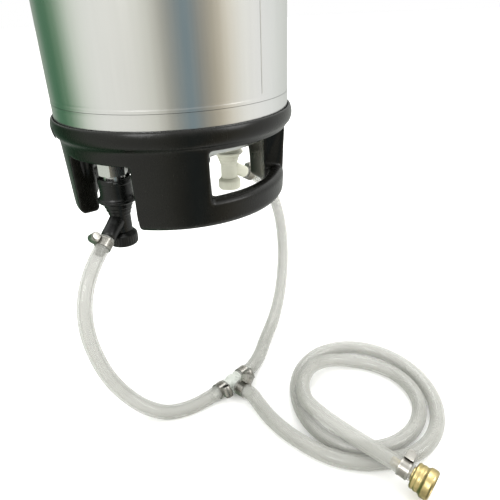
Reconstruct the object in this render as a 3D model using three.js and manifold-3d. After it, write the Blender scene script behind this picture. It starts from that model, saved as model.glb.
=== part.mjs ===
// A stainless keg with a rubber double-handle top, held upside down by its base. Two ball-lock quick
// disconnects sit on its posts, and their clear hoses meet in a tee that feeds a loose coil of hose with a
// brass swivel fitting. Millimetres, +Z up. The origin is the centre of the base boot's end plane, on top.
import * as THREE from "three";
import { mergeVertices } from "three/addons/utils/BufferGeometryUtils.js";
import Module from "manifold-3d";

const wasm = await Module();
wasm.setup();

// ---------------------------------------------------------------- driving dimensions
const GAP = 0.3;
const KEG_HEIGHT = 635;
const HANDLE_DEPTH = 86;
const RIM_Z = HANDLE_DEPTH - KEG_HEIGHT; // where steel meets the handle moulding
const FLOOR_BELOW_RIM = 250; // the surface that the hoses lie on
const BODY_RADIUS = 108;
const SHEET = 1.5;
const BOOT_DEPTH = 78;
const BOOT_RADIUS = 111;
const HEAD_JOINT_Z = RIM_Z + 12; // girth weld between body and top head
const HEAD_FLAT_RADIUS = 68;
const HEAD_FLAT_Z = RIM_Z - 32;
const BASE_DOME_HEIGHT = 30;
const HANDLE_END_RADIUS = 102.7;
const HANDLE_INNER_RADIUS = 85;
const BAR_INNER_RADIUS = 91;
const POST_BEARING = 228.5; // the liquid post, counted from +X
const POST_RADIUS = 85;
const HALF_GAP = 19.5; // degrees from a post to the handle's end
const END_DRAFT = 6; // degrees that one end of each handle slopes back
const HALF_GRIP = 33.5; // degrees from a handle's middle to the side of its grip opening
const GRIP_TOP = 22.5;
const GRIP_BOTTOM = 62.5;
const LID_LONG = 55;
const LID_SHORT = 47;
const ARM_LEVEL = 82; // where a barb arm's axis leaves the disconnect's axis, below the rim
const ARM_TILT = 30;
const ARM_LENGTH = 26;
const BARB_LENGTH = 18;
const LIQUID_ARM_BEARING = 240;
const GAS_ARM_BEARING = 28;
const HEX_TURN = 23.6; // degrees from the arm to a corner of the post's hexagon
const HOSE_OUTER = 6.35;
const HOSE_BORE = 5.1;
const BARB_RADIUS = 3.9;
const CLAMP_WIDTH = 8;
const CLAMP_PLACE = 6; // middle of a clamp, from the hose's end
const TEE = new THREE.Vector3(29.7, -117, RIM_Z - FLOOR_BELOW_RIM + 8);
const TEE_RUN_BEARING = 38;
const TEE_PORT = 9; // from the tee's middle to each hose's end
const NUT_RADIUS = 11.8;

// Finishes
const FINISH = {
  steel: { color: 0xc9c8c4, roughness: 0.32, metalness: 1 },
  rubber: { color: 0x26251f, roughness: 0.55, metalness: 0 },
  black_plastic: { color: 0x15161a, roughness: 0.45, metalness: 0 },
  white_plastic: { color: 0xd9d8cc, roughness: 0.45, metalness: 0 },
  clear_hose: { color: 0xd8d8d2, roughness: 0.2, metalness: 0 },
  tee_plastic: { color: 0xe0e2da, roughness: 0.35, metalness: 0 },
  clamp_steel: { color: 0xbdbbb4, roughness: 0.3, metalness: 1 },
  brass: { color: 0xc7a955, roughness: 0.35, metalness: 1 },
};

const rad = THREE.MathUtils.degToRad;
const part = new THREE.Group();

// ---------------------------------------------------------------- solids
// A closed three.js geometry as a manifold-3d solid with its faces pointing out.
function solid(geometry, matrix) {
  const bare = geometry.clone();
  for (const name of Object.keys(bare.attributes)) {
    if (name !== "position") bare.deleteAttribute(name);
  }
  if (matrix) bare.applyMatrix4(matrix);
  const merged = mergeVertices(bare, 1e-4);
  const at = merged.attributes.position;
  const index = merged.index.array;
  const triangles = [];
  let volume = 0;
  const a = new THREE.Vector3();
  const b = new THREE.Vector3();
  const c = new THREE.Vector3();
  for (let i = 0; i < index.length; i += 3) {
    const [p, q, r] = [index[i], index[i + 1], index[i + 2]];
    if (p === q || q === r || p === r) continue;
    triangles.push(p, q, r);
    a.fromBufferAttribute(at, p);
    b.fromBufferAttribute(at, q);
    c.fromBufferAttribute(at, r);
    volume += a.dot(b.cross(c)) / 6;
  }
  if (volume < 0) triangles.reverse();
  return new wasm.Manifold(
    new wasm.Mesh({
      numProp: 3,
      vertProperties: new Float32Array(at.array),
      triVerts: new Uint32Array(triangles),
    }),
  );
}

// A solid of revolution about Z. The profile is a list of [radius, z]; one that leaves the axis is closed.
function turned(profile, segments = 32) {
  const points = profile.map(([r, z]) => new THREE.Vector2(Math.max(r, 0), z));
  const first = points[0];
  const last = points[points.length - 1];
  if (first.x > 0 || last.x > 0) points.push(first.clone());
  return solid(new THREE.LatheGeometry(points, segments).rotateX(Math.PI / 2));
}

// A plain bar about Z, from z0 to z1.
function bar(radius, z0, z1, segments = 20) {
  const profile = [
    [0, z0],
    [radius, z0],
    [radius, z1],
    [0, z1],
  ];
  return turned(profile, segments);
}

// An outline in the XY plane, given as [x, y] points, extruded from z0 to z1.
function slab(outline, z0, z1) {
  const shape = new THREE.Shape(outline.map(([x, y]) => new THREE.Vector2(x, y)));
  const made = new THREE.ExtrudeGeometry(shape, { depth: z1 - z0, bevelEnabled: false });
  return solid(made.translate(0, 0, z0));
}

function block(x0, x1, y0, y1, z0, z1) {
  const outline = [
    [x0, y0],
    [x1, y0],
    [x1, y1],
    [x0, y1],
  ];
  return slab(outline, z0, z1);
}

function ellipse(a, b, count = 24) {
  const outline = [];
  for (let i = 0; i < count; i += 1) {
    const turn = (2 * Math.PI * i) / count;
    outline.push([a * Math.cos(turn), b * Math.sin(turn)]);
  }
  return outline;
}

function hexagon(acrossFlats) {
  const radius = acrossFlats / Math.sqrt(3);
  return ellipse(radius, radius, 6);
}

// A wedge about Z between two bearings and two radii.
function sector(from, to, inner, outer, z0, z1, steps = 5) {
  const outline = [];
  for (let i = 0; i <= steps; i += 1) {
    const turn = rad(from + ((to - from) * i) / steps);
    outline.push([outer * Math.cos(turn), outer * Math.sin(turn)]);
  }
  for (let i = steps; i >= 0; i -= 1) {
    const turn = rad(from + ((to - from) * i) / steps);
    outline.push([inner * Math.cos(turn), inner * Math.sin(turn)]);
  }
  return slab(outline, z0, z1);
}

function turnAbout(axis, degrees) {
  return new THREE.Matrix4().makeRotationAxis(axis, rad(degrees));
}

// The same solid moved by a matrix.
function moved(item, matrix) {
  return item.transform(matrix.elements);
}

function mesh(name, item, finish, parent = part) {
  const data = item.getMesh();
  const geometry = new THREE.BufferGeometry();
  const count = data.numProp;
  const positions = new Float32Array(data.numVert * 3);
  for (let i = 0; i < data.numVert; i += 1) {
    positions.set(data.vertProperties.subarray(i * count, i * count + 3), i * 3);
  }
  geometry.setAttribute("position", new THREE.BufferAttribute(positions, 3));
  geometry.setIndex(new THREE.BufferAttribute(new Uint32Array(data.triVerts), 1));
  geometry.computeVertexNormals();
  const made = new THREE.Mesh(geometry, new THREE.MeshStandardMaterial(FINISH[finish]));
  made.name = name;
  parent.add(made);
  return made;
}

function direction(bearing, tilt = 0) {
  const flat = Math.cos(rad(tilt));
  return new THREE.Vector3(
    flat * Math.cos(rad(bearing)),
    flat * Math.sin(rad(bearing)),
    -Math.sin(rad(tilt)),
  );
}

function along(origin, way, distance) {
  return origin.clone().addScaledVector(way, distance);
}

const UP = new THREE.Vector3(0, 0, 1);
const AHEAD = new THREE.Vector3(1, 0, 0);
const SIDE = new THREE.Vector3(0, 1, 0);

// ---------------------------------------------------------------- steel vessel
// The head's outer curve, from its edge to the start of its flat, with the offset added on the outside.
function headCurve(offset, steps = 5) {
  const points = [];
  for (let i = 0; i <= steps; i += 1) {
    const turn = (Math.PI / 2) * (i / steps);
    points.push([
      HEAD_FLAT_RADIUS + (BODY_RADIUS - HEAD_FLAT_RADIUS + offset) * Math.cos(turn),
      RIM_Z - 4 - (28 + offset) * Math.sin(turn),
    ]);
  }
  return points;
}

function makeBody() {
  const profile = [
    [BODY_RADIUS, -58],
    [BODY_RADIUS, HEAD_JOINT_Z + GAP / 2],
    [BODY_RADIUS - SHEET, HEAD_JOINT_Z + GAP / 2],
    [BODY_RADIUS - SHEET, -58],
  ];
  mesh("body_tube", turned(profile, 40), "steel");
}

function makeBottomHead() {
  const edge = -58 + GAP;
  const profile = [];
  const steps = 5;
  for (let i = 0; i <= steps; i += 1) {
    const turn = (Math.PI / 2) * (i / steps);
    profile.push([BODY_RADIUS * Math.cos(turn), edge + BASE_DOME_HEIGHT * Math.sin(turn)]);
  }
  for (let i = steps; i >= 0; i -= 1) {
    const turn = (Math.PI / 2) * (i / steps);
    const radius = (BODY_RADIUS - SHEET) * Math.cos(turn);
    profile.push([radius, edge + (BASE_DOME_HEIGHT - SHEET) * Math.sin(turn)]);
  }
  mesh("bottom_head", turned(profile, 28), "steel");
}

const SPIGOT_END = RIM_Z - 40;

function makeTopHead() {
  const outside = headCurve(0);
  const inside = headCurve(-SHEET - 0.5).reverse();
  const skirt = HEAD_JOINT_Z - GAP / 2;
  const profile = [
    [BODY_RADIUS, skirt],
    ...outside,
    [0, HEAD_FLAT_Z],
    [0, HEAD_FLAT_Z + SHEET + 0.5],
    ...inside,
    [BODY_RADIUS - SHEET - 0.5, skirt],
  ];
  let head = turned(profile, 36);
  for (const bearing of [POST_BEARING, POST_BEARING + 180]) {
    const place = direction(bearing).multiplyScalar(POST_RADIUS);
    const shift = new THREE.Matrix4().makeTranslation(place.x, place.y, 0);
    head = head.add(moved(bar(8, SPIGOT_END, RIM_Z - 25, 12), shift));
    head = head.subtract(moved(bar(5.6, SPIGOT_END - 1, RIM_Z, 12), shift));
  }
  const opening = slab(ellipse(LID_LONG, LID_SHORT), HEAD_FLAT_Z - 2, HEAD_FLAT_Z + 6);
  head = head.subtract(moved(opening, turnAbout(UP, POST_BEARING + 90)));
  mesh("top_head", head, "steel");
}

// ---------------------------------------------------------------- rubber mouldings
function makeHandleRing() {
  const inner = headCurve(GAP + 0.2).slice(0, 4);
  const profile = [
    [BODY_RADIUS + GAP + 0.2, RIM_Z],
    [BODY_RADIUS + 2.6, RIM_Z],
    [111.6, RIM_Z - 4],
    [111.8, RIM_Z - 9],
    [110.2, RIM_Z - 14],
    [107, RIM_Z - 17],
    [106, RIM_Z - 22],
    [HANDLE_END_RADIUS + 0.6, RIM_Z - HANDLE_DEPTH + 5],
    [HANDLE_END_RADIUS - 3.5, RIM_Z - HANDLE_DEPTH],
    [HANDLE_INNER_RADIUS + 2, RIM_Z - HANDLE_DEPTH],
    [HANDLE_INNER_RADIUS, RIM_Z - HANDLE_DEPTH + 3],
    [HANDLE_INNER_RADIUS, RIM_Z - 34],
    ...inner.reverse(),
  ];
  let ring = turned(profile, 48);
  const far = 130;
  const low = RIM_Z - HANDLE_DEPTH - 5;
  for (const bearing of [POST_BEARING, POST_BEARING + 180]) {
    const gap = sector(bearing - HALF_GAP, bearing + HALF_GAP, 60, far, low, RIM_Z - 29);
    ring = ring.subtract(gap);
    const slope = new THREE.Matrix4().makeTranslation(0, 0, RIM_Z - 29);
    slope.premultiply(turnAbout(UP, bearing - HALF_GAP)).multiply(turnAbout(AHEAD, -END_DRAFT));
    ring = ring.subtract(moved(block(70, far, 0, 12, -70, 0), slope));
    const place = direction(bearing).multiplyScalar(POST_RADIUS);
    const shift = new THREE.Matrix4().makeTranslation(place.x, place.y, 0);
    ring = ring.subtract(moved(bar(14, low, RIM_Z - 20, 16), shift));
    const middle = bearing + 90;
    const gripTop = RIM_Z - GRIP_TOP;
    const gripBottom = RIM_Z - GRIP_BOTTOM;
    const grip = sector(middle - HALF_GRIP, middle + HALF_GRIP, 60, far, gripBottom, gripTop, 8);
    ring = ring.subtract(grip);
    const thinning = sector(middle - 31, middle + 31, 60, BAR_INNER_RADIUS, low, gripTop, 8);
    ring = ring.subtract(thinning);
    for (const end of [bearing + HALF_GAP, bearing + 180 - HALF_GAP]) {
      const turn = direction(end);
      const centre = turn.multiplyScalar(93.5);
      const groove = moved(
        bar(2.6, low, RIM_Z - 34, 8),
        new THREE.Matrix4().makeTranslation(centre.x, centre.y, 0),
      );
      ring = ring.subtract(groove);
    }
  }
  mesh("handle_ring", ring, "rubber");
}

function makeBaseBoot() {
  const inner = BODY_RADIUS + GAP + 0.2;
  const profile = [
    [inner, -BOOT_DEPTH],
    [BOOT_RADIUS - 0.5, -BOOT_DEPTH],
    [BOOT_RADIUS, -BOOT_DEPTH + 4],
    [BOOT_RADIUS, -6],
    [BOOT_RADIUS - 4, 0],
    [BOOT_RADIUS - 17, 0],
    [BOOT_RADIUS - 19, -3],
    [BOOT_RADIUS - 15, -9],
    [inner - 6, -30],
    [inner, -42],
  ];
  mesh("base_boot", turned(profile, 40), "rubber");
}

// ---------------------------------------------------------------- lid, bail and relief valve
const lidGroup = new THREE.Group();
lidGroup.position.z = HEAD_FLAT_Z;
lidGroup.rotation.z = rad(POST_BEARING + 90);
part.add(lidGroup);

const PIVOT_DROP = 7; // the bail's pivot, outside the head's flat
const LUG_Y = 34;

function makeLid() {
  const flange = slab(ellipse(LID_LONG + 6, LID_SHORT + 6), 6.3, 8);
  const neck = slab(ellipse(LID_LONG - 4, LID_SHORT - 4), -1.2, 8);
  const hollow = slab(ellipse(LID_LONG - 6, LID_SHORT - 6), 0.6, 9);
  let lid = flange.add(neck).subtract(hollow);
  for (const side of [-1, 1]) {
    lid = lid.add(block(-5, 5, side * LUG_Y - 1.5, side * LUG_Y + 1.5, -11.5, 0));
  }
  const pivot = moved(bar(2.9, -60, 60, 16), turnAbout(AHEAD, 90));
  const pivotHole = pivot.translate([0, 0, -PIVOT_DROP]);
  lid = lid.subtract(pivotHole).subtract(bar(3, -5, 9, 16));
  mesh("lid", lid, "steel", lidGroup);

  const seal = slab(ellipse(LID_LONG + 4.5, LID_SHORT + 4.5), 2.3, 6);
  const sealBore = slab(ellipse(LID_LONG - 3.5, LID_SHORT - 3.5), 1, 7);
  mesh("lid_seal", seal.subtract(sealBore), "rubber", lidGroup);
}

// The bail is one bent wire: a foot end, a pivot through a lug, the lever's loop, and back.
const BAIL_REACH = 50;
const FOOT_Y = 53;

function makeBail() {
  const z = -PIVOT_DROP;
  const half = [
    [0, FOOT_Y - 1],
    [0, 44],
    [0, 36],
    [0, 31],
    [1, 28],
    [4, 26],
    [12, 25.5],
    [30, 25],
    [BAIL_REACH - 8, 24],
    [BAIL_REACH - 2, 20],
    [BAIL_REACH, 12],
  ];
  const points = half.map(([x, y]) => new THREE.Vector3(x, y, z));
  const back = half.map(([x, y]) => new THREE.Vector3(x, -y, z)).reverse();
  const route = new THREE.CatmullRomCurve3([...points, ...back], false, "centripetal");
  const wire = sweep(route, circle(2.4, 6), 36);
  mesh("lid_bail", wire, "steel", lidGroup);
  makeBailFoot("bail_foot_1", 1);
  makeBailFoot("bail_foot_2", -1);
}

// A moulded foot on each end of the wire presses on the head. Its rounded side rolls away as the bail opens.
function makeBailFoot(name, side) {
  const top = PIVOT_DROP - GAP;
  const outline = [
    [-4.2, -4.2],
    [4.2, -4.2],
    [4.2, top],
    [0, top],
    [-2.1, 5.8],
    [-3.7, 4.3],
    [-4.2, 2.6],
  ];
  const [near, far] = side > 0 ? [-5.4, 3.6] : [-3.6, 5.4];
  const [from, to] = side > 0 ? [-0.5, 6] : [-6, 0.5];
  const toWire = turnAbout(AHEAD, 90);
  const foot = moved(slab(outline, near, far).subtract(bar(2.8, from, to, 12)), toWire);
  mesh(name, foot.translate([0, side * FOOT_Y, -PIVOT_DROP]), "rubber", lidGroup);
}

function makeRelief() {
  const body = turned(
    [
      [2.4, 4.6],
      [2.4, -12],
      [6.5, -12],
      [7.2, -11],
      [7.2, -4],
      [9, -4],
      [9, -1.6],
      [2.7, -1.6],
      [2.7, 4.6],
    ],
    14,
  );
  mesh("relief_body", body, "steel", lidGroup);
  const shaft = bar(1.8, -17, 3, 12);
  const knob = bar(4.2, -15, -12.6, 16);
  const eye = block(-0.7, 0.7, -3.2, 3.2, -22, -16);
  const hole = moved(bar(1.7, -4, 4, 12), turnAbout(SIDE, 90)).translate([0, 0, -19.3]);
  mesh("relief_stem", shaft.add(knob).add(eye).subtract(hole), "steel", lidGroup);
  const ring = new THREE.TorusGeometry(8, 0.9, 6, 20);
  const upright = turnAbout(AHEAD, 90);
  mesh("relief_ring", solid(ring, upright).translate([0, 0, -27.3]), "steel", lidGroup);
}

// ---------------------------------------------------------------- sweeps
function circle(radius, sides) {
  return ellipse(radius, radius, sides);
}

function sweep(route, outline, steps, bore) {
  const shape = new THREE.Shape(outline.map(([x, y]) => new THREE.Vector2(x, y)));
  if (bore) shape.holes.push(new THREE.Path(bore.map(([x, y]) => new THREE.Vector2(x, y))));
  return solid(new THREE.ExtrudeGeometry(shape, { steps, extrudePath: route, bevelEnabled: false }));
}

// ---------------------------------------------------------------- posts and quick disconnects
// One side's fittings stand about the post's own axis, with z measured from the rim plane and +X along the arm.
function makeFittings(side, postBearing, armBearing, plastic) {
  const group = new THREE.Group();
  const place = direction(postBearing).multiplyScalar(POST_RADIUS);
  group.position.set(place.x, place.y, RIM_Z);
  group.rotation.z = rad(armBearing);
  part.add(group);

  const hex = moved(slab(hexagon(22.2), -43.5, -32), turnAbout(UP, HEX_TURN));
  const barrel = turned(
    [
      [0, -43],
      [9.4, -43],
      [9.4, -60],
      [8, -60.4],
      [8, -62.8],
      [9.4, -63.2],
      [9.1, -66],
      [8, -67],
      [0, -67],
    ],
    20,
  );
  const bore = turned(
    [
      [0, -30],
      [8.4, -30],
      [8.4, -42.4],
      [5.3, -42.4],
      [5.3, -62],
      [3.2, -63.5],
      [3.2, -68],
      [0, -68],
    ],
    16,
  );
  mesh(side + "_post", hex.add(barrel).subtract(bore), "steel", group);

  const seal = turned(
    [
      [8.3, -60.7],
      [9.6, -60.7],
      [9.9, -61.6],
      [9.6, -62.5],
      [8.3, -62.5],
    ],
    16,
  );
  mesh(side + "_post_seal", seal, "rubber", group);

  const poppet = turned(
    [
      [0, -49],
      [4.6, -49],
      [4.6, -56],
      [2.4, -59],
      [2.4, -65.6],
      [0, -66],
    ],
    10,
  );
  mesh(side + "_poppet", poppet, "steel", group);

  // The outer sleeve slides on the body and has a lip to pull it by.
  const collar = turned(
    [
      [12.9, -46],
      [14.2, -46],
      [14.7, -47.5],
      [14.7, -61.5],
      [15.2, -63.5],
      [16.8, -64.5],
      [16.8, -67],
      [15.6, -68.2],
      [12.9, -68.2],
    ],
    20,
  );
  mesh(side + "_collar", collar, plastic, group);

  const shell = turned(
    [
      [10.3, -48.5],
      [12.4, -48.5],
      [12.4, -72.5],
      [11, -73.2],
      [11, -76],
      [9.9, -77],
      [9.9, -79.5],
      [9.3, -80.5],
      [9.3, -95.7],
      [5.6, -95.7],
      [5.6, -69.5],
      [10.3, -68.6],
    ],
    20,
  );
  const tip = ARM_LENGTH + BARB_LENGTH;
  const armProfile = [
    [0, 4],
    [6.8, 4],
    [6.8, ARM_LENGTH - 1],
    [6, ARM_LENGTH],
    [BARB_RADIUS - 0.6, ARM_LENGTH],
    [BARB_RADIUS - 0.6, ARM_LENGTH + 3],
  ];
  for (let ridge = 1; ridge <= 2; ridge += 1) {
    const start = ARM_LENGTH + ridge * 6.4 - 2;
    armProfile.push([BARB_RADIUS, start], [BARB_RADIUS - 0.6, start + 3.4]);
  }
  armProfile.push([BARB_RADIUS - 1, tip], [0, tip]);
  const toArm = turnAbout(SIDE, 90 + ARM_TILT);
  const arm = moved(turned(armProfile, 14), toArm).translate([0, 0, -ARM_LEVEL]);
  const armBore = moved(bar(2.4, 2, tip + 1, 8), toArm).translate([0, 0, -ARM_LEVEL]);
  const chamber = bar(5.6, -95.7, -69.2, 20);
  const body = shell.add(arm).subtract(chamber).subtract(armBore);
  mesh(side + "_disconnect", body, plastic, group);

  const plunger = turned(
    [
      [0, -66.4],
      [2.2, -66.4],
      [2.2, -72],
      [4.9, -74],
      [4.9, -78],
      [2.4, -79],
      [2.4, -92],
      [0, -92],
    ],
    10,
  );
  mesh(side + "_plunger", plunger, plastic, group);

  const cap = turned(
    [
      [0, -96],
      [9.8, -96],
      [12.5, -98.8],
      [12.8, -107.4],
      [11.6, -108.8],
      [0, -108.8],
    ],
    20,
  );
  const coinSlot = block(-8, 8, -1, 1, -110, -106.8);
  mesh(side + "_cap", cap.subtract(coinSlot), plastic, group);
}

function makeDipTube(side, postBearing, length) {
  const place = direction(postBearing).multiplyScalar(POST_RADIUS);
  const group = new THREE.Group();
  group.position.set(place.x, place.y, 0);
  group.rotation.z = rad(postBearing + 180);
  part.add(group);
  const flangeZ = SPIGOT_END - GAP;
  const flange = turned(
    [
      [3, flangeZ],
      [7.6, flangeZ],
      [7.6, flangeZ - 1.4],
      [3, flangeZ - 1.4],
    ],
    12,
  );
  const points = [new THREE.Vector3(0, 0, flangeZ - 0.5), new THREE.Vector3(0, 0, RIM_Z)];
  if (length > 100) {
    for (const [x, z] of [
      [0, -400],
      [0, -230],
      [4, -140],
      [28, -78],
      [62, -45],
      [76, -38],
    ]) {
      points.push(new THREE.Vector3(x, 0, z));
    }
  } else {
    points.push(new THREE.Vector3(0, 0, flangeZ + length));
  }
  const route = new THREE.CatmullRomCurve3(points, false, "centripetal");
  const steps = length > 100 ? 12 : 2;
  const tube = sweep(route, circle(4, 8), steps, circle(2.8, 6));
  const clear = bar(2.8, flangeZ - 3, flangeZ + 8, 6);
  mesh(side + "_dip_tube", flange.add(tube).subtract(clear), "steel", group);
}

// ---------------------------------------------------------------- hose clamps
// A worm-drive clamp: a band with its housing, and the screw that turns in it. The clamp's own Z is the hose's
// axis, its X points at the housing, and its Y is the screw's axis.
const SCREW_X = 10.7;

function makeClamp(name, centre, hoseWay, housingWay, headSide = 1) {
  const group = new THREE.Group();
  const z = hoseWay.clone().normalize();
  const y = z.clone().cross(housingWay).normalize();
  const x = y.clone().cross(z);
  if (headSide < 0) {
    y.negate();
    z.negate();
  }
  group.quaternion.setFromRotationMatrix(new THREE.Matrix4().makeBasis(x, y, z));
  group.position.copy(centre);
  part.add(group);

  const half = CLAMP_WIDTH / 2;
  const band = turned(
    [
      [6.95, -half],
      [7.7, -half],
      [7.7, half],
      [6.95, half],
    ],
    16,
  );
  const base = block(7.2, SCREW_X, -4.6, 4.6, -half, half);
  const toScrew = turnAbout(AHEAD, -90);
  const crown = moved(bar(half, -4.6, 4.6, 12), toScrew).translate([SCREW_X, 0, 0]);
  const bore = moved(bar(3, -6, 6, 12), toScrew).translate([SCREW_X, 0, 0]);
  mesh(name + "_band", band.add(base).add(crown).subtract(bore), "clamp_steel", group);

  const shank = bar(2.6, -5.4, 6, 8);
  const head = slab(hexagon(6.4), 5.4, 9);
  const slot = block(-4, 4, -0.5, 0.5, 8, 10);
  const screw = moved(shank.add(head).subtract(slot), toScrew).translate([SCREW_X, 0, 0]);
  mesh(name + "_screw", screw, "clamp_steel", group);
}

// ---------------------------------------------------------------- tee
const teeRun = direction(TEE_RUN_BEARING);
const teeBranch = direction(TEE_RUN_BEARING - 90);

function barbedPort() {
  const profile = [
    [0, 0],
    [5.6, 0],
    [5.6, TEE_PORT - 1.8],
    [5.2, TEE_PORT - 0.3],
    [BARB_RADIUS - 0.7, TEE_PORT - 0.3],
    [BARB_RADIUS - 0.7, TEE_PORT + 2],
  ];
  for (let ridge = 1; ridge <= 2; ridge += 1) {
    const start = TEE_PORT + ridge * 6 - 2.5;
    profile.push([BARB_RADIUS, start], [BARB_RADIUS - 0.7, start + 3.2]);
  }
  profile.push([BARB_RADIUS - 1.2, TEE_PORT + 16], [0, TEE_PORT + 16]);
  return turned(profile, 12);
}

function makeTee() {
  const group = new THREE.Group();
  group.position.copy(TEE);
  group.rotation.z = rad(TEE_RUN_BEARING);
  part.add(group);
  const ports = [
    turnAbout(SIDE, 90),
    turnAbout(SIDE, -90),
    turnAbout(AHEAD, 90),
  ];
  let tee = moved(barbedPort(), ports[0]);
  for (const way of ports.slice(1)) tee = tee.add(moved(barbedPort(), way));
  for (const way of ports) tee = tee.subtract(moved(bar(2.5, -1, TEE_PORT + 20, 8), way));
  mesh("hose_tee", tee, "tee_plastic", group);
}

// ---------------------------------------------------------------- hoses
const hoseOutline = circle(HOSE_OUTER, 10);
const hoseBore = circle(HOSE_BORE, 8);
const FLOOR_Z = RIM_Z - FLOOR_BELOW_RIM;
const LYING_Z = FLOOR_Z + HOSE_OUTER;

function armStart(postBearing) {
  return direction(postBearing).multiplyScalar(POST_RADIUS).setZ(RIM_Z - ARM_LEVEL);
}

// A route that runs straight out of one barb and straight into the next, past the hand-chosen points.
function hoseRoute(start, startWay, middle, end, endWay) {
  return new THREE.CatmullRomCurve3(
    [
      start,
      along(start, startWay, 8),
      along(start, startWay, 17),
      ...middle,
      along(end, endWay, 17),
      along(end, endWay, 8),
      end,
    ],
    false,
    "centripetal",
  );
}

function makeHose(name, route, steps) {
  mesh(name, sweep(route, hoseOutline, steps, hoseBore), "clear_hose");
}

function atRim(points) {
  return points.map(([x, y, below]) => new THREE.Vector3(x, y, RIM_Z - below));
}

const liquidWay = direction(LIQUID_ARM_BEARING, ARM_TILT);
const liquidStart = along(armStart(POST_BEARING), liquidWay, ARM_LENGTH + GAP);
const liquidEnd = along(TEE, teeRun, -TEE_PORT);
const LIQUID_POINTS = atRim([
  [-80.8, -106.5, 112.4],
  [-86.2, -116, 125],
  [-89.4, -124.5, 142],
  [-88.8, -131, 162],
  [-84, -136.5, 182],
  [-76.5, -140, 201],
  [-65, -142.5, 219],
  [-50, -144.5, 234],
  [-32, -145, 242.8],
  [-11.5, -142, 243.6],
]);

const gasWay = direction(GAS_ARM_BEARING, ARM_TILT);
const gasStart = along(armStart(POST_BEARING + 180), gasWay, ARM_LENGTH + GAP);
const gasEnd = along(TEE, teeRun, TEE_PORT);
const GAS_POINTS = atRim([
  [99.8, 83.6, 112.6],
  [109, 82.2, 126],
  [115, 74, 145.5],
  [117, 61, 168],
  [115, 44.5, 191],
  [109.5, 25, 212.5],
  [101, 3, 229.5],
  [90, -21, 240],
  [75.5, -51, 243.6],
  [61.5, -83, 243.6],
]);

// The supply hose leaves the tee's branch, makes two loose turns and ends over them in the swivel fitting.
const COIL_START = -94;
const COIL_END = 545;
const SWIVEL_BEARING = -48;

function coilPoint(turn) {
  const inward = THREE.MathUtils.smoothstep(turn, 120, 330);
  const lift = THREE.MathUtils.smoothstep(turn, 420, 510);
  const x = THREE.MathUtils.lerp(147, 142, inward);
  const y = THREE.MathUtils.lerp(-157.5, -161, inward);
  const across = THREE.MathUtils.lerp(61.5, 52, inward);
  const deep = THREE.MathUtils.lerp(73, 52.5, inward);
  return new THREE.Vector3(
    x + across * Math.cos(rad(turn)),
    y + deep * Math.sin(rad(turn)),
    LYING_Z + lift * (2 * HOSE_OUTER + 0.4),
  );
}

const swivelWay = direction(SWIVEL_BEARING, 8);
const SWIVEL = new THREE.Vector3(149, -252, FLOOR_Z + 16); // the end of the hose at the fitting
const SUPPLY_LEAD = atRim([
  [50.5, -149, 243.6],
  [57.5, -168, 243.6],
  [69.5, -189, 243.6],
  [87.5, -210, 243.6],
  [102.5, -221.5, 243.6],
  [120.5, -228.5, 243.6],
]);
const SUPPLY_TAIL = atRim([
  [96.5, -181, 230.6],
  [107.5, -199.5, 230.6],
  [121, -219, 230.6],
]);

function supplyRoute() {
  const turns = [];
  const perTurn = 14;
  const count = Math.round(((COIL_END - COIL_START) / 360) * perTurn);
  for (let i = 0; i <= count; i += 1) {
    turns.push(coilPoint(COIL_START + ((COIL_END - COIL_START) * i) / count));
  }
  const start = along(TEE, teeBranch, TEE_PORT);
  const middle = [...SUPPLY_LEAD, ...turns, ...SUPPLY_TAIL];
  return hoseRoute(start, teeBranch, middle, SWIVEL, swivelWay.clone().negate());
}

// ---------------------------------------------------------------- swivel fitting
// Its own Z runs out of the hose, and the hose ends at z = 0.
function makeSwivel() {
  const group = new THREE.Group();
  group.position.copy(SWIVEL);
  group.quaternion.setFromUnitVectors(UP, swivelWay);
  part.add(group);
  const profile = [
    [2.6, -17],
    [BARB_RADIUS - 1, -17],
  ];
  for (let ridge = 0; ridge < 2; ridge += 1) {
    const start = -14.5 + ridge * 6;
    profile.push([BARB_RADIUS, start + 3.2], [BARB_RADIUS - 0.6, start + 3.4]);
  }
  profile.push(
    [BARB_RADIUS - 0.6, GAP],
    [5.8, GAP],
    [5.8, 5.4],
    [8.6, 5.4],
    [8.6, 7.4],
    [2.6, 7.4],
  );
  mesh("swivel_stem", turned(profile, 14), "brass", group);

  const nut = turned(
    [
      [6.2, 1.4],
      [9.4, 1.4],
      [10.2, 2.4],
      [10.4, 6],
      [10, 7.6],
      [11, 9],
      [NUT_RADIUS, 10.4],
      [NUT_RADIUS, 15.2],
      [NUT_RADIUS - 0.4, 16.4],
      [9.2, 16.4],
      [9, 16],
      [9, 5],
      [6.2, 5],
    ],
    24,
  );
  mesh("swivel_nut", nut, "brass", group);

  const washer = turned(
    [
      [3.4, 7.7],
      [8.4, 7.7],
      [8.4, 9.9],
      [3.4, 9.9],
    ],
    16,
  );
  mesh("swivel_washer", washer, "rubber", group);
}

// ---------------------------------------------------------------- assembly
makeBody();
makeBottomHead();
makeTopHead();
makeHandleRing();
makeBaseBoot();
makeLid();
makeBail();
makeRelief();
makeFittings("liquid", POST_BEARING, LIQUID_ARM_BEARING, "black_plastic");
makeFittings("gas", POST_BEARING + 180, GAS_ARM_BEARING, "white_plastic");
makeDipTube("liquid", POST_BEARING, 500);
makeDipTube("gas", POST_BEARING + 180, 45);
makeTee();
makeSwivel();

const teeBack = teeRun.clone().negate();
makeHose("hose_liquid", hoseRoute(liquidStart, liquidWay, LIQUID_POINTS, liquidEnd, teeBack), 14);
makeHose("hose_gas", hoseRoute(gasStart, gasWay, GAS_POINTS, gasEnd, teeRun), 14);
makeHose("hose_supply", supplyRoute(), 50);

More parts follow.
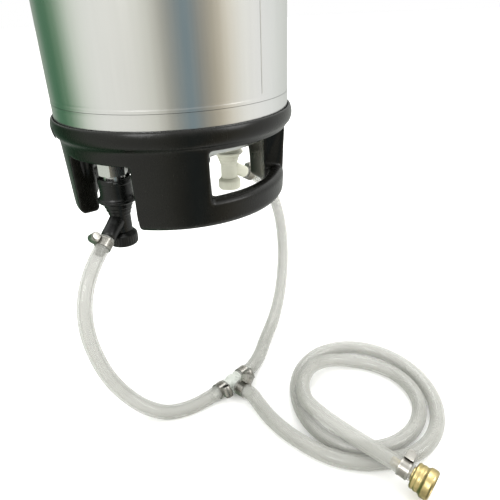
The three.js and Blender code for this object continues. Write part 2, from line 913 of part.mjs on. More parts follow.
const swivelHousing = new THREE.Vector3(0.8, 0.5, 0.6);
const nearSide = teeBranch.clone().addScaledVector(UP, 0.5);
const teeUp = teeRun.clone().addScaledVector(UP, 1.2);
makeClamp(
  "clamp_liquid",
  along(liquidStart, liquidWay, CLAMP_PLACE),
  liquidWay,
  new THREE.Vector3(-0.69, -0.08, 0.72),
  -1,
);
makeClamp("clamp_gas", along(gasStart, gasWay, CLAMP_PLACE), gasWay, new THREE.Vector3(-0.5, 0.1, 1), -1);
makeClamp("clamp_tee_1", along(liquidEnd, teeRun, -CLAMP_PLACE), teeRun, nearSide, 1);
makeClamp("clamp_tee_2", along(gasEnd, teeRun, CLAMP_PLACE), teeRun, nearSide, -1);
makeClamp("clamp_tee_3", along(TEE, teeBranch, TEE_PORT + CLAMP_PLACE), teeBranch, teeUp, 1);
makeClamp("clamp_swivel", along(SWIVEL, swivelWay, -CLAMP_PLACE), swivelWay, swivelHousing, 1);

export default part;
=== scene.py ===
"""Looks for the beer keg: camera, hoses, detailed pieces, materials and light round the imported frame."""
import math

import bmesh
import bpy
from mathutils import Matrix, Vector


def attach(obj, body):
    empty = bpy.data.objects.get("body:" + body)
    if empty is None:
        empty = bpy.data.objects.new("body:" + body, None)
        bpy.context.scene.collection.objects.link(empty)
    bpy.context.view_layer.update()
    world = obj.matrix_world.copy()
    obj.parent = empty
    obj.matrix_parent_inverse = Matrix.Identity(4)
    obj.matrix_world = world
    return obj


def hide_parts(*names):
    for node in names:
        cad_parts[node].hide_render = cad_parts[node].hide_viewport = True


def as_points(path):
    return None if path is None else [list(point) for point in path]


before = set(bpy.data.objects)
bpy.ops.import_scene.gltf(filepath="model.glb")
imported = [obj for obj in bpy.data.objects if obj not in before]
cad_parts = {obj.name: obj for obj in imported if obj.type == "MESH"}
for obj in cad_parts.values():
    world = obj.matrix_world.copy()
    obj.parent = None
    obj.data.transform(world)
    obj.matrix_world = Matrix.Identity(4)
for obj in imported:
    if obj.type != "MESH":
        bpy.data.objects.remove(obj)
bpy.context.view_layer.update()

# ------------------------------------------------------------ driving dimensions, in mm
MM = 0.001
RIM_Z = -549.0
FLOOR_Z = RIM_Z - 250.0
BODY_RADIUS = 108.0
BODY_TOP_Z = -58.0
WALL = 1.5
JOINT_SLIT = 0.15
HEAD_JOINT_Z = RIM_Z + 12.0
HEAD_FLAT_RADIUS = 68.0
HEAD_FLAT_Z = RIM_Z - 32.0
HANDLE_DEPTH = 86.0
HANDLE_END_RADIUS = 102.7
HANDLE_INNER_RADIUS = 85.0
HANDLE_FACE_RADIUS = 105.2
BAR_INNER_RADIUS = 91.0
POST_BEARING = 228.5
GAS_BEARING = POST_BEARING - 180.0
POST_RADIUS = 85.0
HALF_GAP = 19.5
HALF_GRIP = 33.5
GRIP_TOP = 22.5
GRIP_BOTTOM = 62.5
LID_LONG = 55.0
LID_SHORT = 47.0
ARM_LEVEL = 82.0
ARM_TILT = 30.0
ARM_LENGTH = 26.0
BARB_LENGTH = 18.0
LIQUID_ARM_BEARING = 240.0
GAS_ARM_BEARING = 28.0
HEX_TURN = 23.6
END_DRAFT = 6.0
HOSE_OUTER = 6.35
HOSE_INNER = 4.75
BARB_RADIUS = 4.2
CLAMP_WIDTH = 8.0
CLAMP_PLACE = 6.0
CLAMP_BORE = 6.5
SCREW_X = 10.7
TEE = Vector((29.7, -117.0, RIM_Z - 242.0))
TEE_RUN_BEARING = 38.0
TEE_PORT = 9.0
SWIVEL = Vector((149.0, -252.0, FLOOR_Z + 16.0))
SWIVEL_BEARING = -48.0
SWIVEL_TILT = 8.0
NUT_RADIUS = 11.8
PIVOT_DROP = 7.0
FOOT_Y = 53.0
SEAM_BEARING = 311.8

UP = Vector((0.0, 0.0, 1.0))


def direction(bearing, tilt=0.0):
    """The way to a bearing, in degrees from X towards Y, tilted down."""
    flat = math.cos(math.radians(tilt))
    turn = math.radians(bearing)
    return Vector((flat * math.cos(turn), flat * math.sin(turn), -math.sin(math.radians(tilt))))


def spin(axis, degrees):
    return Matrix.Rotation(math.radians(degrees), 4, axis)


def spin_z(degrees):
    return spin("Z", degrees)


def shift(x, y, z):
    return Matrix.Translation((x, y, z))


def basis(x, y, z, origin):
    """The matrix that carries X, Y and Z onto three directions at a point."""
    axes = Matrix((x, y, z)).transposed().to_4x4()
    return Matrix.Translation(origin) @ axes


def post_shift(bearing, height=0.0):
    """Carries a piece from the axis to a post."""
    place = direction(bearing) * POST_RADIUS
    return shift(place.x, place.y, height)


LID_PLACE = shift(0, 0, HEAD_FLAT_Z) @ spin_z(POST_BEARING + 90)
UPRIGHT = spin("X", 90)


# ------------------------------------------------------------ camera
def make_camera():
    pitch, yaw, roll = (math.radians(a) for a in (26.295, 7.915, -2.152))
    forward = Vector((math.sin(yaw) * math.cos(pitch), math.cos(yaw) * math.cos(pitch), -math.sin(pitch)))
    level = Vector((math.cos(yaw), -math.sin(yaw), 0.0))
    above = level.cross(forward)
    right = level * math.cos(roll) + above * math.sin(roll)
    top = above * math.cos(roll) - level * math.sin(roll)
    data = bpy.data.cameras.new("camera")
    data.sensor_width = 36.0
    data.lens = 36.0
    camera = bpy.data.objects.new("camera", data)
    bpy.context.scene.collection.objects.link(camera)
    camera.matrix_world = basis(right, top, -forward, Vector((0.0, -0.4921, -0.46487)))
    bpy.context.scene.camera = camera


make_camera()


# ------------------------------------------------------------ mesh building
class Build:
    """Collects parts of one piece, in mm, and makes one object of them."""

    def __init__(self):
        self.verts = []
        self.faces = []

    def add(self, part, matrix=None):
        verts, faces = part
        start = len(self.verts)
        for v in verts:
            point = Vector(v)
            self.verts.append(matrix @ point if matrix else point)
        self.faces.extend([start + i for i in face] for face in faces)
        return self

    def make(self, name, matrix=None, sharp=35.0):
        mesh = bpy.data.meshes.new(name)
        points = [(matrix @ v if matrix else v) * MM for v in self.verts]
        mesh.from_pydata(points, [], self.faces)
        mesh.validate()
        bm = bmesh.new()
        bm.from_mesh(mesh)
        bmesh.ops.recalc_face_normals(bm, faces=bm.faces)
        bm.to_mesh(mesh)
        bm.free()
        piece = bpy.data.objects.new(name, mesh)
        bpy.context.scene.collection.objects.link(piece)
        smooth(piece, sharp)
        return piece


def smooth(piece, sharp=35.0):
    piece.data.shade_smooth()
    piece.data.set_sharp_from_angle(angle=math.radians(sharp))


def applied(piece):
    """Replaces a piece's mesh with what its modifiers make of it."""
    bpy.context.view_layer.update()
    seen = piece.evaluated_get(bpy.context.evaluated_depsgraph_get())
    mesh = bpy.data.meshes.new_from_object(seen)
    old = piece.data
    piece.modifiers.clear()
    piece.data = mesh
    bpy.data.meshes.remove(old)
    mesh.name = piece.name


def carve(piece, cutters, operation="DIFFERENCE"):
    for cutter in cutters:
        modifier = piece.modifiers.new("carve", "BOOLEAN")
        modifier.operation = operation
        modifier.solver = "EXACT"
        modifier.object = cutter
    applied(piece)
    for cutter in cutters:
        mesh = cutter.data
        bpy.data.objects.remove(cutter)
        bpy.data.meshes.remove(mesh)


def bevelled(piece, width, segments=2, angle=35.0):
    modifier = piece.modifiers.new("bevel", "BEVEL")
    modifier.width = width * MM
    modifier.segments = segments
    modifier.limit_method = "ANGLE"
    modifier.angle_limit = math.radians(angle)
    applied(piece)
    smooth(piece, 50.0)


def fillet(profile, radius, closed=True, steps=4):
    """A profile with its corners rounded. Points on the axis and open ends stay."""
    count = len(profile)
    rounded = []
    for i, (r, z) in enumerate(profile):
        ends = not closed and i in (0, count - 1)
        if ends or r < 1e-6:
            rounded.append((r, z))
            continue
        here = Vector((r, z))
        before = Vector(profile[i - 1]) - here
        after = Vector(profile[(i + 1) % count]) - here
        reach = min(radius, 0.45 * before.length, 0.45 * after.length)
        start = here + before.normalized() * reach
        end = here + after.normalized() * reach
        for k in range(steps + 1):
            t = k / steps
            point = start * (1 - t) ** 2 + here * 2 * t * (1 - t) + end * t**2
            rounded.append((point.x, point.y))
    return rounded


def lathe(profile, segments=96, closed=True, stretch=1.0, ripple=None):
    """A solid of revolution about Z. An open profile starts and ends on the axis, and stretch widens it
    along X. ripple = (count, depth, low, high) presses ribs into the wall between two heights."""
    verts = []
    rings = []
    for r, z in profile:
        if r < 1e-6:
            rings.append([len(verts)])
            verts.append((0.0, 0.0, z))
            continue
        ring = []
        for i in range(segments):
            turn = 2 * math.pi * i / segments
            radius = r
            if ripple and ripple[2] <= z <= ripple[3]:
                radius -= ripple[1] * (0.5 + 0.5 * math.cos(ripple[0] * turn)) ** 2
            ring.append(len(verts))
            verts.append((stretch * radius * math.cos(turn), radius * math.sin(turn), z))
        rings.append(ring)
    pairs = list(zip(rings, rings[1:]))
    if closed:
        pairs.append((rings[-1], rings[0]))
    faces = []
    for a, b in pairs:
        for i in range(segments):
            j = (i + 1) % segments
            if len(a) == 1 and len(b) == 1:
                continue
            if len(a) == 1:
                faces.append([a[0], b[i], b[j]])
            elif len(b) == 1:
                faces.append([a[i], b[0], a[j]])
            else:
                faces.append([a[i], b[i], b[j], a[j]])
    return verts, faces


def turned(name, profile, segments=96, place=None, sharp=35.0, closed=True):
    """A piece turned from one profile."""
    return Build().add(lathe(profile, segments, closed)).make(name, place, sharp)


def cutter(part, place=None):
    return Build().add(part).make("cutter", place)


def rod(radius, low, high):
    """The profile of a plain cylinder between two heights."""
    return [(0, low), (radius, low), (radius, high), (0, high)]


def slab(outline, z0, z1):
    count = len(outline)
    verts = [(x, y, z0) for x, y in outline] + [(x, y, z1) for x, y in outline]
    faces = [list(range(count))[::-1], list(range(count, 2 * count))]
    for i in range(count):
        j = (i + 1) % count
        faces.append([i, j, j + count, i + count])
    return verts, faces


def block(x0, x1, y0, y1, z0, z1):
    return slab([(x0, y0), (x1, y0), (x1, y1), (x0, y1)], z0, z1)


def ring_points(radius, count):
    turns = [2 * math.pi * i / count for i in range(count)]
    return [(radius * math.cos(t), radius * math.sin(t)) for t in turns]


def sector(start, end, inner, outer, z0, z1, steps=24):
    turns = [math.radians(start + (end - start) * i / steps) for i in range(steps + 1)]
    outline = [(outer * math.cos(t), outer * math.sin(t)) for t in turns]
    outline += [(inner * math.cos(t), inner * math.sin(t)) for t in reversed(turns)]
    return slab(outline, z0, z1)


def spline(points, spacing):
    """Even points along the centripetal Catmull-Rom curve through the given points."""
    ends = [points[0] * 2 - points[1]] + points + [points[-1] * 2 - points[-2]]
    dense = []
    for p0, p1, p2, p3 in zip(ends, ends[1:], ends[2:], ends[3:]):
        d0, d1, d2 = (math.sqrt((b - a).length) for a, b in ((p0, p1), (p1, p2), (p2, p3)))
        t1 = ((p1 - p0) / d0 - (p2 - p0) / (d0 + d1) + (p2 - p1) / d1) * d1
        t2 = ((p2 - p1) / d1 - (p3 - p1) / (d1 + d2) + (p3 - p2) / d2) * d1
        for k in range(20):
            t = k / 20
            cubic = (p1 * 2 - p2 * 2 + t1 + t2) * t**3 + (p2 * 3 - p1 * 3 - t1 * 2 - t2) * t**2
            dense.append(p1 + t1 * t + cubic)
    dense.append(points[-1])
    lengths = [0.0]
    for a, b in zip(dense, dense[1:]):
        lengths.append(lengths[-1] + (b - a).length)
    total = lengths[-1]
    count = max(2, round(total / spacing))
    even = []
    k = 0
    for i in range(count + 1):
        wanted = total * i / count
        while k < len(lengths) - 2 and lengths[k + 1] < wanted:
            k += 1
        share = (wanted - lengths[k]) / (lengths[k + 1] - lengths[k])
        even.append(dense[k].lerp(dense[k + 1], share))
    return even


def frames_along(path):
    """For each point of a path, two directions across it that don't twist."""
    ways = []
    for i in range(len(path)):
        before = path[max(i - 1, 0)]
        after = path[min(i + 1, len(path) - 1)]
        ways.append((after - before).normalized())
    across = ways[0].orthogonal().normalized()
    frames = []
    for way in ways:
        across = (across - way * across.dot(way)).normalized()
        frames.append((across, way.cross(across)))
    return frames


def tube(path, outer, inner=0.0, sides=24):
    """A round tube or bar along a path, closed at its ends."""
    verts = []
    faces = []
    frames = frames_along(path)
    loops = []
    for radius in (outer, inner):
        if radius <= 0:
            continue
        rings = []
        for point, (a, b) in zip(path, frames):
            ring = []
            for i in range(sides):
                turn = 2 * math.pi * i / sides
                ring.append(len(verts))
                verts.append(point + (a * math.cos(turn) + b * math.sin(turn)) * radius)
            rings.append(ring)
        for low, high in zip(rings, rings[1:]):
            for i in range(sides):
                j = (i + 1) % sides
                faces.append([low[i], low[j], high[j], high[i]])
        loops.append(rings)
    for end in (0, -1):
        if inner > 0:
            out_ring, in_ring = loops[0][end], loops[1][end]
            for i in range(sides):
                j = (i + 1) % sides
                faces.append([out_ring[i], out_ring[j], in_ring[j], in_ring[i]])
        else:
            faces.append(list(loops[0][end]))
    return verts, faces


# ------------------------------------------------------------ cords
def at_rim(points):
    """Points given by X, Y and their depth below the rim."""
    return [Vector((x, y, RIM_Z - below)) for x, y, below in points]


def arm_start(post_bearing):
    point = direction(post_bearing) * POST_RADIUS
    point.z = RIM_Z - ARM_LEVEL
    return point


LIQUID_WAY = direction(LIQUID_ARM_BEARING, ARM_TILT)
GAS_WAY = direction(GAS_ARM_BEARING, ARM_TILT)
TEE_RUN = direction(TEE_RUN_BEARING)
TEE_BRANCH = direction(TEE_RUN_BEARING - 90.0)
SWIVEL_WAY = direction(SWIVEL_BEARING, SWIVEL_TILT)
LIQUID_START = arm_start(POST_BEARING) + LIQUID_WAY * (ARM_LENGTH + 0.3)
GAS_START = arm_start(GAS_BEARING) + GAS_WAY * (ARM_LENGTH + 0.3)
LIQUID_END = TEE - TEE_RUN * TEE_PORT
GAS_END = TEE + TEE_RUN * TEE_PORT
SUPPLY_START = TEE + TEE_BRANCH * TEE_PORT

LIQUID_POINTS = at_rim([
    (-80.8, -106.5, 112.4), (-86.2, -116, 125), (-89.4, -124.5, 142), (-88.8, -131, 162),
    (-84, -136.5, 182), (-76.5, -140, 201), (-65, -142.5, 219), (-50, -144.5, 234),
    (-32, -145, 242.8), (-11.5, -142, 243.6),
])
GAS_POINTS = at_rim([
    (99.8, 83.6, 112.6), (109, 82.2, 126), (115, 74, 145.5), (117, 61, 168), (115, 44.5, 191),
    (109.5, 25, 212.5), (101, 3, 229.5), (90, -21, 240), (75.5, -51, 243.6), (61.5, -83, 243.6),
])
SUPPLY_LEAD = at_rim([
    (50.5, -149, 243.6), (57.5, -168, 243.6), (69.5, -189, 243.6), (87.5, -210, 243.6),
    (102.5, -221.5, 243.6), (120.5, -228.5, 243.6),
])
SUPPLY_TAIL = at_rim([
    (96.5, -181, 230.6), (107.5, -199.5, 230.6), (121, -219, 230.6),
])
COIL_START = -94.0
COIL_END = 545.0


def smoothstep(value, low, high):
    t = min(max((value - low) / (high - low), 0.0), 1.0)
    return t * t * (3 - 2 * t)


def coil_point(turn):
    """The coil winds inwards on its second turn, and is lifted where it crosses the first."""
    inward = smoothstep(turn, 120.0, 330.0)
    lift = smoothstep(turn, 420.0, 510.0)
    angle = math.radians(turn)
    return Vector((
        147.0 - 5.0 * inward + (61.5 - 9.5 * inward) * math.cos(angle),
        -157.5 - 3.5 * inward + (73.0 - 20.5 * inward) * math.sin(angle),
        FLOOR_Z + HOSE_OUTER + lift * (2 * HOSE_OUTER + 0.4),
    ))


def coil_points():
    count = round((COIL_END - COIL_START) / 360.0 * 14)
    return [coil_point(COIL_START + (COIL_END - COIL_START) * i / count) for i in range(count + 1)]


def hose_route(start, start_way, middle, end, end_way):
    """A route that leaves each end in line with its fitting."""
    lead = [start, start + start_way * 8, start + start_way * 17]
    tail = [end + end_way * 17, end + end_way * 8, end]
    return spline(lead + middle + tail, 3.0)


def make_hose(name, route):
    hose = Build().add(tube(route, HOSE_OUTER, HOSE_INNER, 28)).make(name, sharp=60.0)
    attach(hose, "keg")
    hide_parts(name)
    return hose, [point * MM for point in route]


liquid_hose, liquid_path = make_hose(
    "hose_liquid",
    hose_route(LIQUID_START, LIQUID_WAY, LIQUID_POINTS, LIQUID_END, -TEE_RUN),
)
gas_hose, gas_path = make_hose(
    "hose_gas",
    hose_route(GAS_START, GAS_WAY, GAS_POINTS, GAS_END, TEE_RUN),
)
supply_hose, supply_path = make_hose(
    "hose_supply",
    hose_route(SUPPLY_START, TEE_BRANCH, SUPPLY_LEAD + coil_points() + SUPPLY_TAIL, SWIVEL, -SWIVEL_WAY),
)


# ------------------------------------------------------------ materials
def new_material(name, color, roughness, metallic=0.0):
    material = bpy.data.materials.new(name)
    material.use_nodes = True
    shader = material.node_tree.nodes["Principled BSDF"]
    shader.inputs["Base Color"].default_value = (*color, 1.0)
    shader.inputs["Roughness"].default_value = roughness
    shader.inputs["Metallic"].default_value = metallic
    return material, shader


class Nodes:
    """Short forms for the nodes of a material or a world."""

    def __init__(self, owner, coordinates="Object"):
        self.tree = owner.node_tree
        self.coordinates = self.tree.nodes.new("ShaderNodeTexCoord").outputs[coordinates]

    def link(self, source, target):
        self.tree.links.new(source, target)

    def scaled(self, scale):
        mapping = self.tree.nodes.new("ShaderNodeMapping")
        mapping.inputs["Scale"].default_value = scale
        self.link(self.coordinates, mapping.inputs["Vector"])
        return mapping.outputs["Vector"]

    def noise(self, scale, stretch=(1, 1, 1), detail=4.0, roughness=0.55, distortion=0.0):
        node = self.tree.nodes.new("ShaderNodeTexNoise")
        node.inputs["Scale"].default_value = scale
        node.inputs["Detail"].default_value = detail
        node.inputs["Roughness"].default_value = roughness
        node.inputs["Distortion"].default_value = distortion
        self.link(self.scaled(stretch), node.inputs["Vector"])
        return node.outputs["Fac"]

    def ramp(self, value, stops):
        node = self.tree.nodes.new("ShaderNodeValToRGB")
        while len(node.color_ramp.elements) < len(stops):
            node.color_ramp.elements.new(0.5)
        for element, (place, color) in zip(node.color_ramp.elements, stops):
            element.position = place
            element.color = (*color, 1.0)
        self.link(value, node.inputs["Fac"])
        return node.outputs["Color"]

    def spread(self, value, low, high, from_low=0.3, from_high=0.7):
        node = self.tree.nodes.new("ShaderNodeMapRange")
        node.inputs["From Min"].default_value = from_low
        node.inputs["From Max"].default_value = from_high
        node.inputs["To Min"].default_value = low
        node.inputs["To Max"].default_value = high
        self.link(value, node.inputs["Value"])
        return node.outputs["Result"]

    def bump(self, height, strength, distance, normal=None):
        node = self.tree.nodes.new("ShaderNodeBump")
        node.inputs["Strength"].default_value = strength
        node.inputs["Distance"].default_value = distance
        self.link(height, node.inputs["Height"])
        if normal:
            self.link(normal, node.inputs["Normal"])
        return node.outputs["Normal"]

    def math(self, kind, a, b):
        node = self.tree.nodes.new("ShaderNodeMath")
        node.operation = kind
        for socket, value in zip(node.inputs, (a, b)):
            if isinstance(value, float):
                socket.default_value = value
            else:
                self.link(value, socket)
        return node.outputs[0]

    def mix(self, first, second, share=1.0, blend="MIX"):
        node = self.tree.nodes.new("ShaderNodeMix")
        node.data_type = "RGBA"
        node.blend_type = blend
        for name, value in (("Factor", share), ("A", first), ("B", second)):
            if isinstance(value, (float, tuple)):
                node.inputs[name].default_value = value
            else:
                self.link(value, node.inputs[name])
        return node.outputs["Result"]


def steel_material(name, color, grain, rough_low, rough_high, lines=(1, 1, 0.02), relief=0.02):
    """Stainless sheet: fine lengthwise brushing, faint smudges and uneven sheen."""
    material, shader = new_material(name, color, 0.3, 1.0)
    nodes = Nodes(material)
    brushed = nodes.noise(grain, lines, detail=6.0, roughness=0.7)
    smudge = nodes.noise(14.0, (1, 1, 0.5), detail=3.0)
    dull = [0.975 * c for c in color]
    bright = [min(1.0, 1.02 * c) for c in color]
    tint = nodes.ramp(brushed, [(0.25, dull), (0.75, bright)])
    cloud = nodes.ramp(smudge, [(0.3, (0.965, 0.965, 0.97)), (0.7, (1.0, 1.0, 1.0))])
    nodes.link(nodes.mix(tint, cloud, blend="MULTIPLY"), shader.inputs["Base Color"])
    uneven = nodes.spread(smudge, -0.015, 0.03)
    sheen = nodes.math("ADD", nodes.spread(brushed, rough_low, rough_high), uneven)
    nodes.link(sheen, shader.inputs["Roughness"])
    nodes.link(nodes.bump(brushed, relief, 0.0001), shader.inputs["Normal"])
    return material


def rubber_material(name, color, rough_low, rough_high):
    """Moulded rubber: a fine matt grain, a dull bloom and scuffs."""
    material, shader = new_material(name, color, 0.45)
    nodes = Nodes(material)
    bloom = nodes.noise(22.0, detail=5.0, roughness=0.6)
    grain = nodes.noise(1500.0, detail=2.0)
    scuffs = nodes.noise(160.0, (1, 1, 0.25), detail=6.0, roughness=0.75, distortion=0.6)
    pale = [1.8 * c for c in color]
    tint = nodes.ramp(bloom, [(0.32, color), (0.75, pale)])
    nodes.link(tint, shader.inputs["Base Color"])
    sheen = nodes.math("ADD", nodes.spread(bloom, rough_low, rough_high), nodes.spread(scuffs, -0.03, 0.06))
    nodes.link(sheen, shader.inputs["Roughness"])
    fine = nodes.bump(grain, 0.12, 0.0002)
    nodes.link(nodes.bump(bloom, 0.08, 0.001, fine), shader.inputs["Normal"])
    shader.inputs["Specular IOR Level"].default_value = 0.31
    return material


def plastic_material(name, color, rough_low, rough_high, variation=0.12):
    """Moulded plastic: even colour with a faint flow pattern and a pebbled skin."""
    material, shader = new_material(name, color, 0.35)
    nodes = Nodes(material)
    flow = nodes.noise(60.0, detail=4.0, distortion=0.8)
    skin = nodes.noise(2200.0, detail=2.0)
    dark = [c * (1 - variation) for c in color]
    light = [min(1.0, c * (1 + variation)) for c in color]
    nodes.link(nodes.ramp(flow, [(0.3, dark), (0.7, light)]), shader.inputs["Base Color"])
    nodes.link(nodes.spread(flow, rough_low, rough_high), shader.inputs["Roughness"])
    nodes.link(nodes.bump(skin, 0.1, 0.0001), shader.inputs["Normal"])
    shader.inputs["Specular IOR Level"].default_value = 0.35
    return material


def brass_material():
    """Turned brass: a fine uneven skin, with darker and duller tarnish in patches."""
    material, shader = new_material("brass", (0.78, 0.58, 0.24), 0.28, 1.0)
    nodes = Nodes(material)
    patches = nodes.noise(90.0, detail=5.0, roughness=0.65)
    marks = nodes.noise(900.0, detail=3.0)
    tarnish = [(0.3, (0.32, 0.26, 0.12)), (0.52, (0.57, 0.46, 0.21)), (0.8, (0.74, 0.62, 0.33))]
    tint = nodes.ramp(patches, tarnish)
    nodes.link(tint, shader.inputs["Base Color"])
    nodes.link(nodes.spread(patches, 0.42, 0.2), shader.inputs["Roughness"])
    nodes.link(nodes.bump(marks, 0.15, 0.0002), shader.inputs["Normal"])
    return material


def clear_material(name, color, thin, thick, roughness):
    """Clear or milky vinyl: it shows what is behind it, and more of its own colour towards its edges."""
    material, shader = new_material(name, color, roughness)
    nodes = Nodes(material)
    cloud = nodes.noise(45.0, detail=3.0)
    ripple = nodes.noise(160.0, detail=2.0)
    facing = nodes.tree.nodes.new("ShaderNodeLayerWeight")
    facing.inputs["Blend"].default_value = 0.45
    edge = nodes.math("POWER", facing.outputs["Facing"], 2.2)
    milky = nodes.spread(cloud, -0.04, 0.04)
    share = nodes.math("ADD", nodes.spread(edge, thin, thick, 0.0, 1.0), milky)
    nodes.link(share, shader.inputs["Alpha"])
    pale = [min(1.0, 1.06 * c) for c in color]
    nodes.link(nodes.ramp(cloud, [(0.3, color), (0.7, pale)]), shader.inputs["Base Color"])
    nodes.link(nodes.bump(ripple, 0.12, 0.0003), shader.inputs["Normal"])
    shader.inputs["IOR"].default_value = 1.5
    return material


LOOKS = {
    "steel": steel_material("brushed_steel", (0.74, 0.74, 0.73), 260.0, 0.2, 0.24),
    "fitting_steel": steel_material("fitting_steel", (0.66, 0.66, 0.65), 500.0, 0.22, 0.3),
    "rubber": rubber_material("moulded_rubber", (0.0022, 0.0022, 0.0015), 0.2, 0.3),
    "seal_rubber": rubber_material("seal_rubber", (0.006, 0.006, 0.006), 0.4, 0.5),
    "black_plastic": plastic_material("black_plastic", (0.004, 0.0044, 0.004), 0.24, 0.34, 0.3),
    "white_plastic": plastic_material("white_plastic", (0.60, 0.60, 0.50), 0.34, 0.46, 0.05),
    "clear_hose": clear_material("clear_vinyl", (0.43, 0.432, 0.40), 0.40, 0.93, 0.14),
    "tee_plastic": clear_material("tee_plastic", (0.70, 0.73, 0.68), 0.62, 0.9, 0.3),
    "clamp_steel": steel_material("clamp_steel", (0.36, 0.35, 0.32), 700.0, 0.22, 0.38, (1, 1, 1)),
    "brass": brass_material(),
}


def finished(piece, slot, body="keg", nodes=()):
    """Gives a piece the material named by a slot, hangs it on the body that it rides on and hides the CAD
    nodes it stands for.
    """
    piece.data.materials.clear()
    piece.data.materials.append(LOOKS[slot])
    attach(piece, body)
    if nodes:
        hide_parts(*nodes)
    return piece


for hose in (liquid_hose, gas_hose, supply_hose):
    hose.data.materials.append(LOOKS["clear_hose"])


# ------------------------------------------------------------ steel vessel
def head_curve(offset, steps=24):
    """The domed end's outline, moved out by an offset."""
    points = []
    for i in range(steps + 1):
        turn = math.pi / 2 * i / steps
        radius = HEAD_FLAT_RADIUS + (BODY_RADIUS - HEAD_FLAT_RADIUS + offset) * math.cos(turn)
        points.append((radius, RIM_Z - 4 - (28 + offset) * math.sin(turn)))
    return points


def make_body():
    """The drawn tube, with two fine ridges and a shallow groove next to the girth joint."""
    low = HEAD_JOINT_Z + JOINT_SLIT
    outline = [
        (BODY_RADIUS - WALL, BODY_TOP_Z), (BODY_RADIUS, BODY_TOP_Z), (BODY_RADIUS, low + 5.2),
        (BODY_RADIUS - 0.02, low + 4.6), (BODY_RADIUS - 0.16, low + 4.0),
        (BODY_RADIUS - 0.16, low + 3.0), (BODY_RADIUS + 0.1, low + 2.3),
        (BODY_RADIUS + 0.12, low + 1.8), (BODY_RADIUS - 0.04, low + 1.2),
        (BODY_RADIUS + 0.1, low + 0.6), (BODY_RADIUS + 0.1, low), (BODY_RADIUS - WALL, low),
    ]
    body = turned("body_shell", outline, 256, sharp=70.0)
    finished(body, "steel", nodes=["body_tube"])
    seam_path = []
    for i in range(161):
        z = low + 6 + (BODY_TOP_Z - low - 8) * i / 160
        wobble = 0.12 * math.sin(i * 1.7) + 0.08 * math.sin(i * 0.61)
        point = direction(SEAM_BEARING + wobble * 0.4) * (BODY_RADIUS - 0.75)
        point.z = z
        seam_path.append(point)
    seam = Build().add(tube(seam_path, 1.05, sides=12)).make("seam_weld", sharp=60.0)
    finished(seam, "steel")


def make_top_head():
    """The domed head, its lid opening with a rolled lip, and the two spigots that carry the posts."""
    joint = HEAD_JOINT_Z - JOINT_SLIT
    outline = [
        (0, HEAD_FLAT_Z + 2),
        *reversed(head_curve(-2.0)),
        (BODY_RADIUS - 2.0, joint), (BODY_RADIUS + 0.1, joint), (BODY_RADIUS + 0.08, joint - 0.9),
        (BODY_RADIUS - 0.06, joint - 1.5), (BODY_RADIUS, joint - 3.0),
        *head_curve(0.0),
        (0, HEAD_FLAT_Z),
    ]
    head = turned("top_head_shell", outline, 192, sharp=60.0, closed=False)
    mouth = lathe(rod(LID_SHORT, -4, 8), 96, False, LID_LONG / LID_SHORT)
    carve(head, [cutter(mouth, LID_PLACE)])
    smooth(head, 50.0)
    finished(head, "steel", nodes=["top_head"])
    near = LID_SHORT - 1.9
    far = LID_SHORT + 0.9
    rolled = fillet([(near, -0.9), (far, -0.9), (far, 1.6), (near, 1.6)], 0.8)
    lip = Build().add(lathe(rolled, 96, stretch=LID_LONG / LID_SHORT))
    finished(lip.make("mouth_lip", LID_PLACE, 60.0), "steel")
    for side, bearing in (("liquid", POST_BEARING), ("gas", GAS_BEARING)):
        spigot = fillet([(5.6, -40), (8, -40), (8, -30), (9.6, -27), (9.6, -25.5), (5.6, -25.5)], 0.7)
        finished(turned(side + "_spigot", spigot, 64, post_shift(bearing, RIM_Z), 50.0), "steel")


def make_bottom_head():
    edge = BODY_TOP_Z + 2 * JOINT_SLIT
    outside = []
    inside = []
    for i in range(25):
        turn = math.pi / 2 * i / 24
        outside.append((BODY_RADIUS * math.cos(turn), edge + 30 * math.sin(turn)))
        inside.append(((BODY_RADIUS - WALL) * math.cos(turn), edge + (30 - WALL) * math.sin(turn)))
    outside[-1] = (0, outside[-1][1])
    inside[-1] = (0, inside[-1][1])
    outline = list(reversed(inside)) + outside
    head = turned("bottom_head_shell", outline, 160, sharp=60.0, closed=False)
    finished(head, "steel", nodes=["bottom_head"])


# ------------------------------------------------------------ rubber mouldings
def rounded_moulding(piece, voxel, passes):
    """Remeshes a carved moulding evenly and softens its edges, as a mould's fillets do."""
    remesh = piece.modifiers.new("remesh", "REMESH")
    remesh.mode = "VOXEL"
    remesh.voxel_size = voxel * MM
    soften = piece.modifiers.new("soften", "SMOOTH")
    soften.factor = 0.5
    soften.iterations = passes
    applied(piece)
    piece.data.shade_smooth()


def grip_window(middle, end, top, face, steps=24):
    """The cutter for a grip opening: straight inside, and flared where it meets the outer face."""
    outline = [(60, end, 0), (face - 8, end, 0)]
    # inset from the face, drop below the window, rise above it, degrees added to each side
    flare = [(5, 0.8, 0.4, 0.3), (3, 2.0, 1.0, 0.8), (1.4, 3.6, 1.7, 1.5)]
    flare += [(0.2, 5.6, 2.3, 2.4), (-12, 7, 2.6, 3.2)]
    for inset, drop, _, spread in flare:
        outline.append((face - inset, end - drop, spread))
    for inset, _, rise, spread in reversed(flare):
        outline.append((face - inset, top + rise, spread))
    outline += [(face - 8, top, 0), (60, top, 0)]
    points = []
    for k in range(steps + 1):
        for radius, z, spread in outline:
            point = direction(middle + (2 * k / steps - 1) * (HALF_GRIP + spread)) * radius
            points.append((point.x, point.y, z))
    count = len(outline)
    faces = []
    for k in range(steps):
        for i in range(count):
            low = k * count + i
            high = k * count + (i + 1) % count
            faces.append((low, high, high + count, low + count))
    faces.append(tuple(reversed(range(count))))
    faces.append(tuple(range(steps * count, (steps + 1) * count)))
    return points, faces


